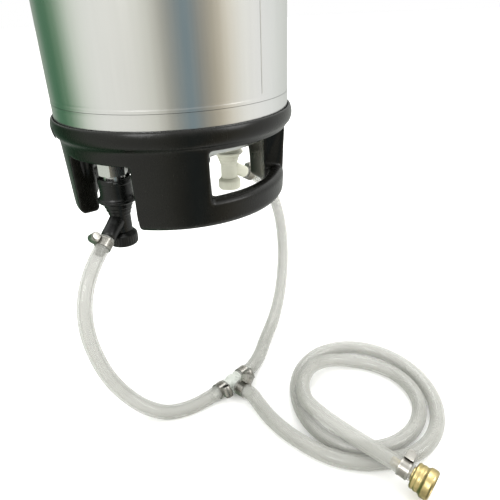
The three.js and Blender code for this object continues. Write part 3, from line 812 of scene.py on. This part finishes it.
def make_handle_ring():
    """The bead and the two handles: one turned ring, cut open and softened all over."""
    outline = [
        (BODY_RADIUS + 0.5, RIM_Z), (BODY_RADIUS + 2.2, RIM_Z), (111.2, RIM_Z - 2.2),
        (112.2, RIM_Z - 6), (112.2, RIM_Z - 10), (110.8, RIM_Z - 14), (107.6, RIM_Z - 17),
        (106.6, RIM_Z - 19), (106.2, RIM_Z - 23),
        (HANDLE_END_RADIUS + 0.8, RIM_Z - HANDLE_DEPTH + 4),
        (HANDLE_END_RADIUS - 2.5, RIM_Z - HANDLE_DEPTH - 0.4),
        (HANDLE_INNER_RADIUS + 2, RIM_Z - HANDLE_DEPTH - 0.4),
        (HANDLE_INNER_RADIUS, RIM_Z - HANDLE_DEPTH + 3), (HANDLE_INNER_RADIUS, RIM_Z - 34),
        *reversed(head_curve(0.6)[:15]),
    ]
    ring = turned("handle_moulding", outline, 192)
    far = 130
    low = RIM_Z - HANDLE_DEPTH - 5
    cutters = []
    for bearing in (POST_BEARING, GAS_BEARING):
        middle = bearing + 90
        top = RIM_Z - GRIP_TOP
        end = RIM_Z - GRIP_BOTTOM
        # the gap at the post, the grip opening, the hollow behind the grip's bar, and the post's well
        cutters += [
            cutter(sector(bearing - HALF_GAP, bearing + HALF_GAP, 60, far, low, RIM_Z - 30)),
            cutter(grip_window(middle, end, top, HANDLE_FACE_RADIUS)),
            cutter(sector(middle - 31, middle + 31, 60, BAR_INNER_RADIUS, low, top)),
            cutter(lathe(rod(14, low, RIM_Z - 20), 48, False), post_shift(bearing)),
        ]
        slope = shift(0, 0, RIM_Z - 29) @ spin_z(bearing - HALF_GAP) @ spin("X", -END_DRAFT)
        cutters.append(cutter(block(70, far, 0, 12, -70, 0), slope))
        for side in (bearing + HALF_GAP, bearing + 180 - HALF_GAP):
            centre = direction(side) * 93.5
            groove = lathe(rod(3.1, low, RIM_Z - 33), 24, False)
            cutters.append(cutter(groove, shift(centre.x, centre.y, 0)))
    carve(ring, cutters)
    rounded_moulding(ring, 1.25, 9)
    finished(ring, "rubber", nodes=["handle_ring"])
    for number, bearing in enumerate((POST_BEARING - 27.5, GAS_BEARING - 27.5)):
        path = []
        for k in range(9):
            point = direction(bearing) * (112.25 - 0.55 * abs(k - 4) ** 1.7 * 0.32)
            point.z = RIM_Z - 2.5 - 1.6 * k
            path.append(point)
        line = Build().add(tube(path, 0.4, sides=8)).make(f"mould_line_{number + 1}", sharp=60.0)
        finished(line, "rubber")


def make_base_boot():
    """The boot, with ribs inside its foot."""
    inner = BODY_RADIUS + 0.5
    outline = fillet(
        [
            (inner, -78), (110.4, -78), (111, -74), (111, -6), (107, 0), (94, 0), (92, -3),
            (96, -9), (inner - 6, -30), (inner, -42),
        ],
        2.5,
        steps=6,
    )
    boot = turned("base_boot_moulding", outline, 192, sharp=60.0)
    ribs = Build()
    for k in range(24):
        ribs.add(block(92.5, 98, -0.9, 0.9, -20, -4), spin_z(15 * k))
    carve(boot, [ribs.make("ribs")], "UNION")
    smooth(boot, 50.0)
    finished(boot, "rubber", nodes=["base_boot"])


# ------------------------------------------------------------ lid, bail and relief valve
def make_lid():
    short = LID_SHORT - 4
    outline = [
        (0, 0.4), (14, 0.4), (16, -0.6), (26, -0.6), (29, 0.6), (short - 7, 0.6), (short - 4, -1.2),
        (short - 1, -1.2), (short, 0), (short, 6.3), (LID_SHORT + 6, 6.3), (LID_SHORT + 6, 8),
        (short - 2, 8), (short - 2, 2.2), (short - 7, 2.2), (29, 2.2), (26, 1.0), (0, 1.0),
    ]
    pressing = lathe(fillet(outline, 1.0, False), 128, False, LID_LONG / LID_SHORT)
    lid = Build().add(pressing).make("lid_pressing", LID_PLACE, 50.0)
    finished(lid, "fitting_steel", "lid", ["lid"])
    lugs = Build()
    side_view = [(-5, 0.4), (5, 0.4), (5, -7)]
    side_view += [(5 * math.cos(t), -7 - 4.5 * math.sin(t)) for t in (math.pi * k / 12 for k in range(1, 12))]
    side_view.append((-5, -7))
    for y in (-35.5, 32.5):
        lugs.add(slab(side_view, -y - 3, -y), UPRIGHT)
    piece = lugs.make("lid_lugs", LID_PLACE)
    bevelled(piece, 0.5)
    finished(piece, "fitting_steel", "lid")


def make_bail():
    half = [(0, 52), (0, 44), (0, 36), (0, 31), (1, 28), (4, 26)]
    half += [(12, 25.5), (30, 25), (42, 24), (48, 20), (50, 12)]
    points = [Vector((x, y, -PIVOT_DROP)) for x, y in half]
    points += [Vector((x, -y, -PIVOT_DROP)) for x, y in reversed(half)]
    path = spline(points, 1.5)
    wire = Build().add(tube(path, 2.4, sides=20)).make("bail_wire", LID_PLACE, 60.0)
    finished(wire, "fitting_steel", "bail", ["lid_bail"])
    top = PIVOT_DROP - 0.3
    outline = [(-4.2, -4.2), (4.2, -4.2), (4.2, top), (0, top), (-2.1, 5.8), (-3.7, 4.3), (-4.2, 2.6)]
    for name, side in (("bail_foot_1", 1), ("bail_foot_2", -1)):
        near, far = (-5.4, 3.6) if side > 0 else (-3.6, 5.4)
        at = LID_PLACE @ shift(0, side * FOOT_Y, -PIVOT_DROP) @ UPRIGHT
        foot = Build().add(slab(outline, near, far)).make(name + "_moulding", at)
        bevelled(foot, 1.0, 3, 25.0)
        finished(foot, "rubber", "bail", [name])


def make_relief():
    body = [(2.4, 4.6), (2.4, -12), (6.5, -12), (7.2, -11), (7.2, -4)]
    body += [(9, -4), (9, -1.6), (2.7, -1.6), (2.7, 4.6)]
    piece = turned("relief_housing", fillet(body, 0.4), 48, LID_PLACE, 40.0)
    finished(piece, "fitting_steel", "lid", ["relief_body"])
    stem = Build()
    stem.add(lathe(fillet(rod(1.8, -17, 3), 0.3, False), 24, False))
    knob = fillet(rod(4.2, -15, -12.6), 0.6, False)
    stem.add(lathe(knob, 48, False, ripple=(24, 0.25, -14.9, -12.7)))
    piece = stem.make("relief_pin", LID_PLACE, 50.0)
    finished(piece, "fitting_steel", "relief_stem", ["relief_stem"])
    eye_plate = eyelet(ring_points(1.7, 20), ring_points(3.2, 20), 0.7)
    neck = block(-0.7, 0.7, -1.6, 1.6, -17.4, -16)
    eye = Build().add(eye_plate, shift(0, 0, -19.3) @ spin("Y", 90)).add(neck)
    piece = eye.make("relief_eye", LID_PLACE, 40.0)
    finished(piece, "fitting_steel", "relief_stem")
    turns = [2 * math.pi * k / 64 for k in range(65)]
    loop = [Vector((8 * math.cos(t), 0, -27.3 + 8 * math.sin(t))) for t in turns]
    ring = Build().add(tube(loop, 0.9, sides=12)).make("relief_pull_ring", LID_PLACE, 70.0)
    finished(ring, "fitting_steel", "relief_ring", ["relief_ring"])


def eyelet(inner, outer, half):
    """A flat ring between two outlines with the same count of points."""
    count = len(inner)
    verts = [(x, y, z) for z in (-half, half) for x, y in outer]
    verts += [(x, y, z) for z in (-half, half) for x, y in inner]
    faces = []
    for i in range(count):
        j = (i + 1) % count
        faces.append([i, j, j + count, i + count])
        faces.append([i + 2 * count, i + 3 * count, j + 3 * count, j + 2 * count])
        faces.append([i, i + 2 * count, j + 2 * count, j])
        faces.append([i + count, j + count, j + 3 * count, i + 3 * count])
    return verts, faces


# ------------------------------------------------------------ posts and quick disconnects
def make_post(side, place):
    hexagon = ring_points(22.2 / math.sqrt(3), 6)
    body = Build().add(slab(hexagon, -43.5, -32), spin_z(HEX_TURN)).make(side + "_post_hex", place)
    round_off = [(0, -45), (9.8, -45), (13.0, -42.6), (13.0, -32.9), (12.0, -31), (0, -31)]
    carve(body, [cutter(lathe(round_off, 64, False), place)], "INTERSECT")
    smooth(body, 25.0)
    finished(body, "fitting_steel", nodes=[side + "_post"])
    barrel = [
        (5.3, -43), (9.4, -43), (9.4, -60), (8, -60.4), (8, -62.8), (9.4, -63.2), (9.1, -66),
        (8, -67), (3.2, -67), (3.2, -63.5), (5.3, -62),
    ]
    finished(turned(side + "_post_barrel", fillet(barrel, 0.4), 64, place, 40.0), "fitting_steel")


def make_collar(side, place, plastic):
    outline = [
        (12.9, -46), (14.2, -46), (14.7, -47.3), (14.7, -50.2), (14.3, -50.8), (14.3, -60.5),
        (14.7, -62.6), (15.4, -64.2), (16.9, -64.9), (16.9, -66.9), (15.6, -68.2), (12.9, -68.2),
    ]
    collar = turned(side + "_sleeve", fillet(outline, 0.5), place=place)
    notch = block(10, 18, -3.4, 3.4, -48.4, -45)
    carve(collar, [cutter(notch, place @ spin_z(45 + 90 * k)) for k in range(4)])
    smooth(collar, 40.0)
    finished(collar, plastic, side + "_collar", [side + "_collar"])


def make_disconnect(side, place, plastic):
    shell = [
        (10.3, -48.5), (12.4, -48.5), (12.4, -72.6), (11.2, -73.1), (11.2, -76.2), (10.0, -76.7),
        (10.0, -79.6), (9.2, -80.3), (9.2, -94.2), (9.6, -95.7), (5.6, -95.7), (5.6, -69.5),
        (10.3, -68.6),
    ]
    piece = turned(side + "_valve_body", fillet(shell, 0.5), 96, place, 40.0)
    finished(piece, plastic, nodes=[side + "_disconnect"])
    tip = ARM_LENGTH + BARB_LENGTH
    arm = [
        (2.4, 6), (7.4, 6), (6.9, 14), (6.8, ARM_LENGTH - 2), (6.1, ARM_LENGTH),
        (BARB_RADIUS - 0.5, ARM_LENGTH), (BARB_RADIUS - 0.5, ARM_LENGTH + 3),
    ]
    for ridge in range(3):
        start = ARM_LENGTH + 4 + ridge * 4.4
        arm += [(BARB_RADIUS + 0.4, start), (BARB_RADIUS - 0.6, start + 3.4)]
    arm += [(BARB_RADIUS - 1, tip), (2.4, tip)]
    lean = shift(0, 0, -ARM_LEVEL) @ spin("Y", 90 + ARM_TILT)
    web = [(8.6, -84), (19, -88.5), (20, -91), (9, -95.6)]
    branch = Build().add(lathe(fillet(arm, 0.35), 64), lean).add(slab(web, -1.3, 1.3), UPRIGHT)
    finished(branch.make(side + "_valve_arm", place, 40.0), plastic)


def make_cap(side, place, plastic):
    outline = [
        (0, -96), (9.9, -96), (12.3, -98.4), (12.8, -99.6), (12.9, -101), (12.9, -107),
        (11.9, -108.8), (0, -108.8),
    ]
    ribbed = lathe(fillet(outline, 0.6, False), 192, False, ripple=(32, 0.28, -107.0, -99.4))
    cap = Build().add(ribbed).make(side + "_screw_cap", place)
    carve(cap, [cutter(block(-8, 8, -1, 1, -110, -107), place)])
    smooth(cap, 30.0)
    finished(cap, plastic, nodes=[side + "_cap"])


def make_fittings(side, bearing, arm_bearing, plastic):
    place = post_shift(bearing, RIM_Z) @ spin_z(arm_bearing)
    make_post(side, place)
    make_collar(side, place, plastic)
    make_disconnect(side, place, plastic)
    make_cap(side, place, plastic)


# ------------------------------------------------------------ hose clamps
def slotted_band(inner, outer, half, slots, start, end):
    """A strip bent round Z with pressed slots, whose slotted stretch runs from one bearing to another."""
    stations = []
    step = (end - start) / slots
    for k in range(slots):
        a = start + step * k
        stations += [(a + 0.24 * step, 0.0), (a + 0.3 * step, 1.0)]
        stations += [(a + 0.74 * step, 1.0), (a + 0.8 * step, 0.0)]
    plain = 28
    for k in range(plain + 1):
        stations.append((end + (360 - end + start) * k / plain, 0.0))
    stations.sort()
    levels = [-half, -half * 0.62, -half * 0.56, half * 0.56, half * 0.62, half]
    verts = []
    rows = []
    for bearing, sunk in stations:
        turn = math.radians(bearing)
        row = []
        for k, z in enumerate(levels):
            radius = outer - (0.45 * sunk if k in (2, 3) else 0.0)
            row.append(len(verts))
            verts.append((radius * math.cos(turn), radius * math.sin(turn), z))
        for z in (half, -half):
            row.append(len(verts))
            verts.append((inner * math.cos(turn), inner * math.sin(turn), z))
        rows.append(row)
    faces = []
    for a, b in zip(rows, rows[1:] + rows[:1]):
        for k in range(len(a)):
            n = (k + 1) % len(a)
            faces.append([a[k], b[k], b[n], a[n]])
    return verts, faces


def bend(radius, degrees):
    """Points round Z at the given bearings."""
    turns = [math.radians(a) for a in degrees]
    return [(radius * math.cos(t), radius * math.sin(t)) for t in turns]


def make_clamp(name, centre, hose_way, housing_way, head_side):
    z = hose_way.normalized()
    y = z.cross(housing_way).normalized()
    x = y.cross(z)
    if head_side < 0:
        y.negate()
        z.negate()
    place = basis(x, y, z, centre)
    half = CLAMP_WIDTH / 2
    band = Build().add(slotted_band(CLAMP_BORE, 7.25, half, 26, 40, 320))
    tongue = bend(7.0, range(-48, -15, 4)) + bend(7.75, range(-16, -49, -4))
    band.add(slab(tongue, -half * 0.98, half * 0.98))
    finished(band.make(name + "_strap", place, 30.0), "clamp_steel", nodes=[name + "_band"])

    on_screw = place @ shift(SCREW_X, 0, 0) @ spin("X", -90)
    outline = [(6.9 - SCREW_X, -3.7), (0, -3.9)]
    turns = [math.pi * k / 14 for k in range(1, 14)]
    outline += [(3.9 * math.sin(t), -3.9 * math.cos(t)) for t in turns]
    outline += [(0, 3.9), (6.9 - SCREW_X, 3.7)]
    housing = Build().add(slab(outline, -4.6, 4.6)).make(name + "_housing", on_screw)
    bore = cutter(lathe(rod(2.9, -6, 6), 32, False), on_screw)
    bevelled(housing, 0.45, 2, 30.0)
    carve(housing, [bore])
    smooth(housing, 35.0)
    finished(housing, "clamp_steel")

    thread = [(0, -5.6), (2.0, -5.6)]
    for k in range(7):
        low = -5.4 + 1.5 * k
        thread += [(2.0, low), (2.6, low + 0.5), (2.6, low + 0.8), (2.0, low + 1.3)]
    thread += [(2.0, 5.4), (0, 5.4)]
    screw = Build().add(lathe(thread, 32, False))
    screw.add(lathe(fillet(rod(3.5, 5.3, 6.1), 0.25, False), 48, False))
    screw.add(slab(ring_points(3.35, 6), 6.0, 8.6))
    screw.add(slab(ring_points(2.5, 24), 8.5, 8.9))
    piece = screw.make(name + "_worm", on_screw)
    carve(piece, [cutter(block(-4, 4, -0.45, 0.45, 7.9, 10), on_screw)])
    smooth(piece, 30.0)
    finished(piece, "clamp_steel", name + "_screw", [name + "_screw"])


# ------------------------------------------------------------ tee and swivel fitting
def make_tee():
    profile = [
        (2.5, 0), (5.8, 0), (5.8, TEE_PORT - 2.2), (6.6, TEE_PORT - 1.8), (6.6, TEE_PORT - 0.4),
        (BARB_RADIUS - 0.6, TEE_PORT - 0.3), (BARB_RADIUS - 0.6, TEE_PORT + 2),
    ]
    for ridge in range(3):
        start = TEE_PORT + 3 + ridge * 4.4
        profile += [(BARB_RADIUS + 0.3, start), (BARB_RADIUS - 0.7, start + 3.4)]
    profile += [(BARB_RADIUS - 1.2, TEE_PORT + 17), (2.5, TEE_PORT + 17)]
    place = Matrix.Translation(TEE) @ spin_z(TEE_RUN_BEARING)
    ports = Build()
    rounded = lathe(fillet(profile, 0.3), 48)
    for degrees, axis in ((90, "Y"), (-90, "Y"), (90, "X")):
        ports.add(rounded, spin(axis, degrees))
    knuckle = [(0, -6.2), (3.6, -6.2), (5.2, -5), (6.3, -2.6), (6.3, 2.6), (5.2, 5), (3.6, 6.2), (0, 6.2)]
    ports.add(lathe(fillet(knuckle, 1.2, False), 48, False))
    return finished(ports.make("tee_fitting", place, 40.0), "tee_plastic", nodes=["hose_tee"])


def make_swivel():
    lean = UP.rotation_difference(SWIVEL_WAY).to_matrix().to_4x4()
    place = Matrix.Translation(SWIVEL) @ lean
    profile = [(2.6, -17), (BARB_RADIUS - 0.9, -17)]
    for ridge in range(4):
        start = -16 + ridge * 3.9
        profile += [(BARB_RADIUS + 0.45, start + 3.0), (BARB_RADIUS - 0.5, start + 3.2)]
    profile += [(BARB_RADIUS - 0.5, 0.3), (5.8, 0.3), (5.8, 5.4), (8.6, 5.4), (8.6, 7.4), (2.6, 7.4)]
    stem = turned("swivel_tail", fillet(profile, 0.25), 64, place)
    finished(stem, "brass", nodes=["swivel_stem"])
    nut = [
        (6.2, 1.3), (9.2, 1.3), (10.1, 2.2), (10.3, 3.4), (9.9, 4.4), (10.4, 5.4), (10.5, 7.0),
        (10.1, 8.2), (10.7, 9.3), (NUT_RADIUS, 10.6), (NUT_RADIUS + 0.1, 12.8), (NUT_RADIUS, 15.2),
        (NUT_RADIUS - 1.0, 16.6), (9.6, 16.6), (9.1, 15.6),
    ]
    for k in range(5):
        high = 15.0 - 2.0 * k
        nut += [(9.1, high), (8.75, high - 0.6), (9.1, high - 1.2)]
    nut += [(9.1, 5), (6.2, 5)]
    piece = turned("swivel_nut_turned", fillet(nut, 0.5), 96, place, 40.0)
    finished(piece, "brass", "swivel_nut", ["swivel_nut"])


# ------------------------------------------------------------ assembly
make_body()
make_top_head()
make_bottom_head()
make_handle_ring()
make_base_boot()
make_lid()
make_bail()
make_relief()
make_fittings("liquid", POST_BEARING, LIQUID_ARM_BEARING, "black_plastic")
make_fittings("gas", GAS_BEARING, GAS_ARM_BEARING, "white_plastic")
tee = make_tee()
make_swivel()

near_side = TEE_BRANCH + UP * 0.5
CLAMPS = {
    "clamp_liquid": (LIQUID_START + LIQUID_WAY * CLAMP_PLACE, LIQUID_WAY, Vector((-0.69, -0.08, 0.72)), -1),
    "clamp_gas": (GAS_START + GAS_WAY * CLAMP_PLACE, GAS_WAY, Vector((-0.5, 0.1, 1.0)), -1),
    "clamp_tee_1": (LIQUID_END - TEE_RUN * CLAMP_PLACE, TEE_RUN, near_side, 1),
    "clamp_tee_2": (GAS_END + TEE_RUN * CLAMP_PLACE, TEE_RUN, near_side, -1),
    "clamp_tee_3": (SUPPLY_START + TEE_BRANCH * CLAMP_PLACE, TEE_BRANCH, TEE_RUN + UP * 1.2, 1),
    "clamp_swivel": (SWIVEL - SWIVEL_WAY * CLAMP_PLACE, SWIVEL_WAY, Vector((0.8, 0.5, 0.6)), 1),
}
for clamp_name, (centre, hose_way, housing_way, head_side) in CLAMPS.items():
    make_clamp(clamp_name, centre, hose_way, housing_way, head_side)

# CAD nodes that stay as they are
KEPT = {
    "seal_rubber": ["lid_seal", "liquid_post_seal", "gas_post_seal", "swivel_washer"],
    "fitting_steel": ["liquid_poppet", "gas_poppet", "liquid_dip_tube", "gas_dip_tube"],
    "black_plastic": ["liquid_plunger"],
    "white_plastic": ["gas_plunger"],
}
for slot_name, node_names in KEPT.items():
    for node_name in node_names:
        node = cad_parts[node_name]
        node.data.materials.clear()
        node.data.materials.append(LOOKS[slot_name])


tuple(liquid_path[0])
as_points(liquid_path)
tuple(gas_path[0])
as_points(gas_path)
tuple(supply_path[0])
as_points(supply_path)


# ------------------------------------------------------------ floor, world and light
def make_floor():
    size = 12.0
    mesh = bpy.data.meshes.new("floor")
    z = FLOOR_Z * MM
    corners = [(-size, -size, z), (size, -size, z), (size, size, z), (-size, size, z)]
    mesh.from_pydata(corners, [], [[0, 1, 2, 3]])
    floor = bpy.data.objects.new("floor", mesh)
    bpy.context.scene.collection.objects.link(floor)
    material, shader = new_material("floor", (0.96, 0.96, 0.95), 0.9)
    shader.inputs["Specular IOR Level"].default_value = 0.1
    mesh.materials.append(material)
    floor.visible_glossy = False


def make_world():
    """A soft studio by compass direction: bright panels to the left and right of the camera, a cooler dark
    gap between them, and something green to the left and behind. Overhead it is white."""
    world = bpy.data.worlds.new("studio")
    bpy.context.scene.world = world
    world.use_nodes = True
    nodes = Nodes(world, "Generated")
    split = nodes.tree.nodes.new("ShaderNodeSeparateXYZ")
    nodes.link(nodes.coordinates, split.inputs["Vector"])
    minus_y = nodes.math("MULTIPLY", split.outputs["Y"], -1.0)
    bearing = nodes.math("ARCTAN2", split.outputs["X"], minus_y)
    stops = [
        (-180, (0.50, 0.52, 0.49)), (-150, (0.36, 0.42, 0.36)), (-134, (0.10, 0.22, 0.13)),
        (-122, (0.06, 0.17, 0.09)), (-109, (0.13, 0.26, 0.15)), (-96, (0.42, 0.53, 0.41)),
        (-85, (0.80, 0.85, 0.76)), (-68, (0.96, 0.97, 0.92)), (-36, (0.93, 0.93, 0.87)),
        (-15, (0.78, 0.78, 0.70)), (-4, (0.48, 0.47, 0.40)), (5, (0.29, 0.31, 0.29)),
        (18, (0.18, 0.28, 0.33)), (27, (0.30, 0.30, 0.27)), (42, (0.50, 0.45, 0.34)),
        (54, (0.82, 0.76, 0.63)), (70, (1.0, 1.0, 0.94)), (92, (1.0, 1.0, 0.98)),
        (109, (0.94, 0.96, 0.93)), (135, (0.78, 0.80, 0.76)), (180, (0.50, 0.52, 0.49)),
    ]
    share = nodes.spread(bearing, 0.0, 1.0, -math.pi, math.pi)
    around = nodes.ramp(share, [((place + 180) / 360, color) for place, color in stops])
    height = nodes.spread(split.outputs["Z"], 0.0, 1.0, 0.2, 0.7)
    room = nodes.mix(around, (1.5, 1.5, 1.48, 1.0), height)
    camera_ray = nodes.tree.nodes.new("ShaderNodeLightPath").outputs["Is Camera Ray"]
    shown = nodes.mix(room, (1.0, 1.0, 1.0, 1.0), camera_ray)
    nodes.link(shown, nodes.tree.nodes["Background"].inputs["Color"])


def make_light(name, place, target, size, power):
    data = bpy.data.lights.new(name, "AREA")
    data.shape = "DISK"
    data.size = size
    data.energy = power
    lamp = bpy.data.objects.new(name, data)
    bpy.context.scene.collection.objects.link(lamp)
    lamp.location = place
    lamp.rotation_euler = (Vector(target) - Vector(place)).to_track_quat("-Z", "Y").to_euler()


make_floor()
make_world()
make_light("key", (-1.1, -1.7, 0.7), (0.0, 0.0, -0.6), 1.2, 22.0)
make_light("fill", (1.6, -1.0, 0.4), (0.0, 0.0, -0.65), 1.0, 12.0)
make_light("top", (0.3, 0.9, 1.4), (0.05, 0.1, -0.7), 2.2, 30.0)
bpy.context.scene.view_settings.view_transform = "Standard"
bpy.context.scene.view_settings.look = "None"
